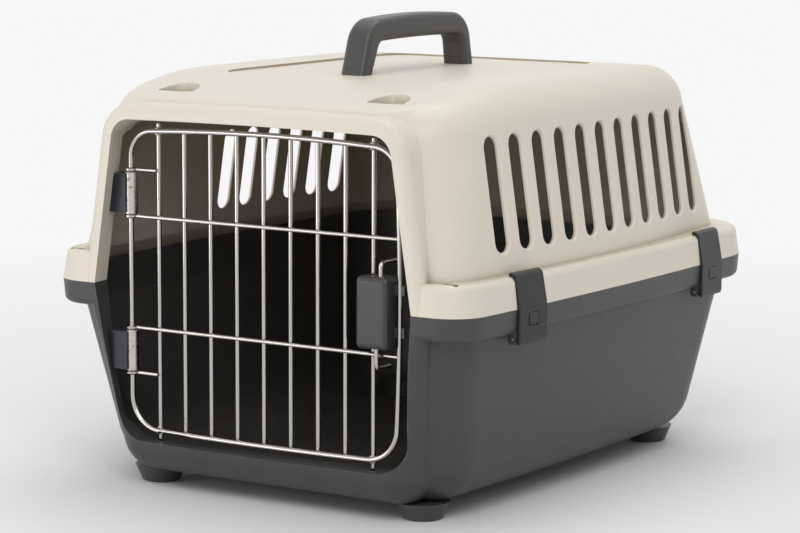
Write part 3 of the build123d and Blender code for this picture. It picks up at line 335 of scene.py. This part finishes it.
FINISHES = (
    ("top_shell", cream),
    ("bottom_tray", tray_grey),
    ("carry_handle", handle_grey),
    ("side_clip", clip_grey),
    ("hinge_bracket", bracket_blue),
    ("latch_housing", latch_grey),
    ("hinge_sleeve", sleeve_tin),
    ("upper_spring", spring_steel),
    ("lower_spring", spring_steel),
    ("clip_pin", spring_steel),
    ("door_", wire_nickel),
    ("upper_", wire_nickel),
    ("lower_", wire_nickel),
)


def dress_nodes():
    """Give every node the first finish whose name it starts with."""
    for name, obj in nodes.items():
        finish = next(material for start, material in FINISHES if name.startswith(start))
        obj.data.materials.clear()
        obj.data.materials.append(finish)


dress_nodes()


# ---- the two coils inside the latch housing ----

SPRING_WIRE = 0.0008      # thickness of the wire
SPRING_TURNS = 4
POINTS_PER_TURN = 24


def make_spring(node):
    """Round-wire coil in a spring's place, hiding that spring; it is carried by the door's body."""
    low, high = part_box(node)
    centre = (low + high) / 2
    radius = (high.x - low.x - SPRING_WIRE) / 2
    rise = high.z - low.z - SPRING_WIRE
    count = SPRING_TURNS * POINTS_PER_TURN
    data = bpy.data.curves.new(node + "_line", "CURVE")
    data.dimensions = "3D"
    data.bevel_depth = SPRING_WIRE / 2
    data.bevel_resolution = 3
    data.use_fill_caps = True
    line = data.splines.new("POLY")
    line.points.add(count)
    for index in range(count + 1):
        share = index / count
        turn = 2 * math.pi * SPRING_TURNS * share
        x = centre.x + radius * math.cos(turn)
        y = centre.y + radius * math.sin(turn)
        line.points[index].co = (x, y, low.z + SPRING_WIRE / 2 + rise * share, 1)
    mesh = bpy.data.meshes.new_from_object(bpy.data.objects.new(node + "_line", data))
    piece = bpy.data.objects.new(node + "_coil", mesh)
    scene.collection.objects.link(piece)
    mesh.materials.clear()
    mesh.materials.append(spring_steel)
    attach(piece, "door")
    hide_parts(node)
    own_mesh(piece)


make_spring("upper_spring")
make_spring("lower_spring")


# ---- floor, light and camera ----

BACKDROP_LEVEL = 0.93     # pale backdrop, as the camera, metal and glass see it
WORLD_LEVEL = 0.46        # light that the surroundings throw on the carrier
FLOOR_HALF = 6.0
FLOOR_COLOUR = (0.86, 0.86, 0.86)
FLOOR_FADE = (0.35, 1.10) # distances between which the floor gives way to the backdrop
LAMPS = (                 # name, place, aim, size, watts
    ("key", (1.3, -1.9, 2.1), (0, 0, 0.1), (1.6, 1.6), 30),
    ("fill", (-2.2, -1.2, 1.2), (0, 0, 0.12), (1.6, 1.6), 7),
    ("top", (0.0, 0.6, 2.4), (0, 0, 0.2), (1.8, 1.8), 20),
    ("low_panel", (-0.62, -1.10, 0.17), (0, -0.18, 0.14), (0.60, 0.32), 1.9),
)
CAMERA_AZIMUTH = 32.97
CAMERA_ELEVATION = 8.168
CAMERA_ROLL = 0.18
CAMERA_DISTANCE = 2.00681
CAMERA_TARGET = (0, 0.041, 0.150)
TARGET_RIGHT = -0.03333   # how far the aim lies right of and above the target
TARGET_UP = -0.02348
SENSOR_WIDTH = 36.0
FOCAL_LENGTH = 131.8905   # millimetres, as is the sensor's width


def seen_directly(tree):
    """1 for what the camera sees by itself or in a reflection, 0 for light that falls on the carrier."""
    path = tree.nodes.new("ShaderNodeLightPath")
    glossy = path.outputs["Is Glossy Ray"]
    passing = path.outputs["Is Transmission Ray"]
    in_gloss = math_node(tree, "MAXIMUM", glossy, passing)
    return math_node(tree, "MAXIMUM", path.outputs["Is Camera Ray"], in_gloss)


def make_floor():
    """Pale floor that keeps the carrier's shadow and fades into the backdrop further out."""
    mesh = bpy.data.meshes.new("floor")
    corners = [(x * FLOOR_HALF, y * FLOOR_HALF, 0) for x, y in ((-1, -1), (1, -1), (1, 1), (-1, 1))]
    mesh.from_pydata(corners, [], [(0, 1, 2, 3)])
    floor = bpy.data.objects.new("floor", mesh)
    scene.collection.objects.link(floor)
    material, tree, surface = new_material("pale_floor")
    surface.inputs["Base Color"].default_value = colour(FLOOR_COLOUR)
    surface.inputs["Roughness"].default_value = 0.9
    place = tree.nodes.new("ShaderNodeTexCoord").outputs["Object"]
    distance = tree.nodes.new("ShaderNodeVectorMath")
    distance.operation = "LENGTH"
    tree.links.new(place, distance.inputs[0])
    far = ramp(tree, distance.outputs["Value"], *FLOOR_FADE)
    glow = tree.nodes.new("ShaderNodeEmission")
    glow.inputs["Color"].default_value = (1, 1, 1, 1)
    glow.inputs["Strength"].default_value = BACKDROP_LEVEL
    fade = tree.nodes.new("ShaderNodeMixShader")
    tree.links.new(math_node(tree, "MULTIPLY", far, seen_directly(tree)), fade.inputs[0])
    tree.links.new(surface.outputs["BSDF"], fade.inputs[1])
    tree.links.new(glow.outputs["Emission"], fade.inputs[2])
    output = next(node for node in tree.nodes if node.type == "OUTPUT_MATERIAL")
    tree.links.new(fade.outputs[0], output.inputs["Surface"])
    floor.data.materials.append(material)


def add_area_light(name, place, aim, size, watts):
    """Rectangular lamp that the camera doesn't see."""
    data = bpy.data.lights.new(name, "AREA")
    data.shape = "RECTANGLE"
    data.size = size[0]
    data.size_y = size[1]
    data.energy = watts
    lamp = bpy.data.objects.new(name, data)
    lamp.location = place
    lamp.visible_camera = False
    lamp.rotation_euler = (Vector(aim) - Vector(place)).to_track_quat("-Z", "Y").to_euler()
    scene.collection.objects.link(lamp)


def make_world():
    """Even white surroundings, brighter behind the carrier than in the light they throw."""
    world = bpy.data.worlds.new("studio")
    scene.world = world
    world.use_nodes = True
    tree = world.node_tree
    background = tree.nodes["Background"]
    background.inputs["Color"].default_value = (1, 1, 1, 1)
    level = ramp(tree, seen_directly(tree), 0.0, 1.0, WORLD_LEVEL, BACKDROP_LEVEL)
    tree.links.new(level, background.inputs["Strength"])


def make_camera():
    """Camera that looks at the target from the given side, with a slight roll."""
    azimuth = math.radians(CAMERA_AZIMUTH)
    elevation = math.radians(CAMERA_ELEVATION)
    roll = math.radians(CAMERA_ROLL)
    level = math.cos(elevation)
    back = Vector((math.sin(azimuth) * level, -math.cos(azimuth) * level, math.sin(elevation)))
    right = Vector((math.cos(azimuth), math.sin(azimuth), 0))
    up = back.cross(right)
    rolled_right = right * math.cos(roll) + up * math.sin(roll)
    rolled_up = up * math.cos(roll) - right * math.sin(roll)
    aim = Vector(CAMERA_TARGET) + rolled_right * TARGET_RIGHT + rolled_up * TARGET_UP
    place = aim + back * CAMERA_DISTANCE
    data = bpy.data.cameras.new("camera")
    data.sensor_width = SENSOR_WIDTH
    data.lens = FOCAL_LENGTH
    camera = bpy.data.objects.new("camera", data)
    facing = Matrix((rolled_right, rolled_up, back)).transposed().to_4x4()
    camera.matrix_world = Matrix.Translation(place) @ facing
    scene.collection.objects.link(camera)
    scene.camera = camera


make_floor()
make_world()
for name, place, aim, size, watts in LAMPS:
    add_area_light(name, place, aim, size, watts)
make_camera()
scene.view_settings.view_transform = "Standard"
